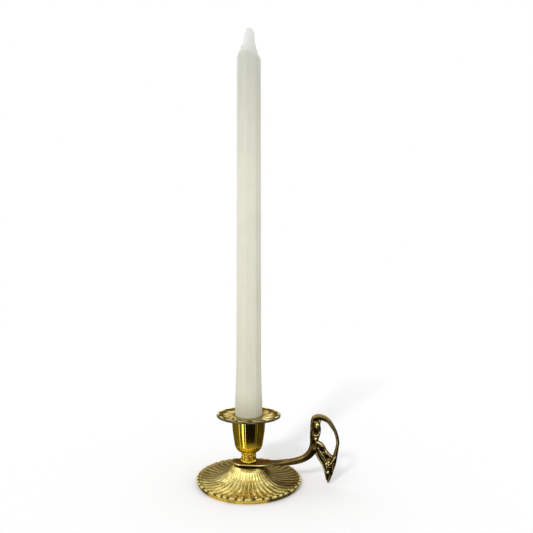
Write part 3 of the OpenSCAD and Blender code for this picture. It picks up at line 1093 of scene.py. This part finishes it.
def stud_solid():
    """Threaded stud with chamfered ends."""
    pitch, depth = 0.8, 0.35
    low, high = stud_low.z, stud_high.z
    rows = np.linspace(low, high, 232)[:, None]
    theta = np.linspace(0, 2 * math.pi, 32, endpoint=False)[None, :]
    turn = (rows / pitch - theta / (2 * math.pi)) % 1
    ends = np.minimum(rows - low, high - rows)
    radius = STUD_R - depth * np.abs(2 * turn - 1) - 0.6 * (1 - np.clip(ends / 0.6, 0, 1))
    rings = np.stack([radius * np.cos(theta), radius * np.sin(theta), rows + 0 * theta], -1)
    return capped(rings, (0, 0, low), (0, 0, high))


stud = piece("threaded_stud", *stud_solid(), "centre_stud", "fastener_steel", fastener_steel)

washer_outline = filleted([
    (BORE_R, washer_low.z, 0.1), (washer_high.x, washer_low.z, 0.25),
    (washer_high.x, washer_high.z, 0.1), (BORE_R, washer_high.z, 0.1),
], 0.12)
washer = piece(
    "plain_washer", *turned(washer_outline, 96), "washer", "fastener_steel", fastener_steel,
)


def nut_solid():
    """Hexagon nut with chamfered corners and a countersunk bore."""
    low, high = nut_low.z, nut_high.z
    flats = nut_high.y
    corner = nut_high.x
    outline = filleted([
        (STUD_R, low + 0.3, 0), (STUD_R + 0.35, low, 0), (flats - 0.1, low, 0),
        (corner, low + 0.7, 0), (corner, high - 0.7, 0), (flats - 0.1, high, 0),
        (STUD_R + 0.35, high, 0), (STUD_R, high - 0.3, 0),
    ], 0.15)
    columns = 144
    verts, faces = turned(outline, columns)
    angle = np.arctan2(verts[:, 1], verts[:, 0])
    side = math.pi / 3
    phase = (angle + side / 2) % side - side / 2
    phase = np.abs(phase) - side / 2
    limit = flats / np.cos(phase)
    radius = np.hypot(verts[:, 0], verts[:, 1])
    scale = np.minimum(1, limit / radius)
    verts[:, :2] *= scale[:, None]
    return verts, faces


nut = piece(
    "hexagon_nut", *nut_solid(), "hex_nut", "fastener_steel", fastener_steel, smooth_angle=30,
)


# ---------------------------------------------------------------- studio

FLOOR_NEAR = 0.046
FLOOR_FAR = 0.06


def floor_plane():
    """Wide pale floor. Polished metal sees about half of it close to the foot, and past
    FLOOR_FAR looks through it to the studio's lower half."""
    n = Nodes("floor_paper")
    n.set(Base_Color=rgb(0.93, 0.93, 0.93), Roughness=0.9, Specular_IOR_Level=0.0)
    clear = n.add("BsdfTransparent")
    spread = n.add("VectorMath", operation="LENGTH")
    n.link(n.add("NewGeometry").outputs["Position"], spread.inputs[0])
    away = n.remap(spread.outputs["Value"], FLOOR_NEAR, FLOOR_FAR, 0.45, 1.0)
    glossy = n.add("LightPath").outputs["Is Glossy Ray"]
    choose = n.add("MixShader")
    n.link(n.math("MULTIPLY", glossy, away), choose.inputs["Fac"])
    n.link(n.shader.outputs[0], choose.inputs[1])
    n.link(clear.outputs[0], choose.inputs[2])
    n.link(choose.outputs[0], n.tree.nodes["Material Output"].inputs["Surface"])
    mesh = bpy.data.meshes.new("floor")
    work = bmesh.new()
    bmesh.ops.create_circle(work, cap_ends=True, radius=6, segments=128)
    work.to_mesh(mesh)
    work.free()
    floor = bpy.data.objects.new("floor", mesh)
    bpy.context.scene.collection.objects.link(floor)
    mesh.materials.append(n.material)


def direction(azimuth, elevation):
    """Unit vector towards an azimuth from the front, positive to the right, and elevation."""
    a, e = math.radians(azimuth), math.radians(elevation)
    return Vector((math.sin(a) * math.cos(e), -math.cos(a) * math.cos(e), math.sin(e)))


def soft_sun(azimuth, elevation, strength, spread):
    """Even light from one side that gives the soft shadow on the floor."""
    data = bpy.data.lights.new("soft_sun", "SUN")
    data.energy = strength
    data.angle = math.radians(spread)
    lamp = bpy.data.objects.new("soft_sun", data)
    lamp.rotation_euler = (-direction(azimuth, elevation)).to_track_quat("-Z", "Y").to_euler()
    lamp.visible_glossy = False
    bpy.context.scene.collection.objects.link(lamp)


class Studio(Nodes):
    """Short calls for the world's node tree."""

    def __init__(self):
        self.world = bpy.data.worlds.new("studio")
        self.world.use_nodes = True
        self.tree = self.world.node_tree
        self.tree.nodes.clear()

    def levels(self, value, stops):
        """A ramp of grey levels along a value from 0 to 1."""
        made = self.add("ValToRGB")
        elements = made.color_ramp.elements
        while len(elements) < len(stops):
            elements.new(0.5)
        for element, (place, level) in zip(elements, stops):
            element.position = place
            element.color = (level, level, level, 1)
        self.link(value, made.inputs["Fac"])
        return made.outputs["Color"]

    def panel(self, ray, azimuth, elevation, inner, outer):
        """1 within an inner angle of a direction, and 0 past the outer one."""
        facing = self.add("VectorMath", operation="DOT_PRODUCT")
        self.link(ray, facing.inputs[0])
        facing.inputs[1].default_value = direction(azimuth, elevation)
        return self.remap(
            facing.outputs["Value"], math.cos(math.radians(outer)), math.cos(math.radians(inner))
        )

    def background(self, colour):
        made = self.add("Background")
        if isinstance(colour, tuple):
            made.inputs["Color"].default_value = colour
        else:
            self.link(colour, made.inputs["Color"])
        return made.outputs[0]

    def either(self, factor, no, yes):
        made = self.add("MixShader")
        for socket, source in zip(made.inputs, (factor, no, yes)):
            self.link(source, socket)
        return made.outputs[0]


def studio_world():
    """White to the camera, even and soft on wax and paper, and to polished metal a room:
    pale walls that are dark on the right, a bright overhead, two panels in front, and a dark
    table with one bright strip on the left."""
    w = Studio()
    ray = w.add("TexCoord").outputs["Generated"]
    split = w.add("SeparateXYZ")
    w.link(ray, split.inputs[0])
    x, y, z = split.outputs
    angle = w.math("ARCTAN2", x, w.math("MULTIPLY", y, -1.0))
    turn = w.remap(angle, -math.pi, math.pi)

    def at(degrees, level):
        return (degrees + 180) / 360, level

    table = w.levels(turn, [
        at(-180, 0.25), at(-120, 0.13), at(-80, 0.17), at(-50, 0.13), at(-41, 0.25), at(-37, 4.0),
        at(-32, 4.8), at(-30, 0.015), at(22, 0.008), at(60, 0.01), at(70, 0.6), at(74, 0.02),
        at(100, 0.08), at(116, 0.03), at(180, 0.25),
    ])
    walls = w.levels(turn, [
        at(-180, 1.2), at(-125, 1.1), at(-105, 0.5), at(-75, 0.45), at(-45, 0.5), at(-20, 0.9),
        at(30, 0.8), at(60, 0.12), at(110, 0.12), at(130, 1.0), at(180, 1.2),
    ])
    behind = w.remap(y, -0.2, 0.35)
    wall_tops = w.mix(behind, rgb(0.95, 0.94, 0.89), rgb(1.4, 1.38, 1.3))
    lifted = w.mix(w.remap(z, 0.22, 0.55), walls, wall_tops)
    overhead = w.mix(behind, rgb(1.0, 1.0, 0.96), rgb(2.2, 2.2, 2.1))
    above = w.mix(w.remap(z, 0.5, 0.8), lifted, overhead)
    room = w.mix(w.remap(z, -0.16, -0.04), table, above)
    room = w.mix(w.panel(ray, -40, 40, 10, 16), room, rgb(3.3, 3.3, 3.1))
    room = w.mix(w.panel(ray, 14, 46, 9, 13), room, rgb(3.3, 3.3, 3.1))
    path = w.add("LightPath")
    even = w.background(rgb(0.88, 0.88, 0.88))
    seen = w.background(rgb(1, 1, 1))
    surface = w.either(path.outputs["Is Glossy Ray"], even, w.background(room))
    surface = w.either(path.outputs["Is Camera Ray"], surface, seen)
    w.link(surface, w.add("OutputWorld").inputs["Surface"])
    bpy.context.scene.world = w.world


def camera():
    """A little below the middle of the candle and tilted slightly up, with the frame shifted
    so that the candlestick stands left of its centre."""
    azimuth, distance, height, upward = 8.0, 0.3195, 0.1313, 2.0
    data = bpy.data.cameras.new("camera")
    data.sensor_width = 36
    data.lens = 27.0
    data.shift_x, data.shift_y = 0.0334, 0.0629
    eye = bpy.data.objects.new("camera", data)
    a = math.radians(azimuth)
    eye.location = (distance * math.sin(a), -distance * math.cos(a), height)
    eye.rotation_euler = (math.radians(90 + upward), 0, a)
    bpy.context.scene.collection.objects.link(eye)
    bpy.context.scene.camera = eye


floor_plane()
studio_world()
soft_sun(azimuth=-18, elevation=33, strength=1.15, spread=9)
camera()
bpy.context.scene.view_settings.view_transform = "Standard"
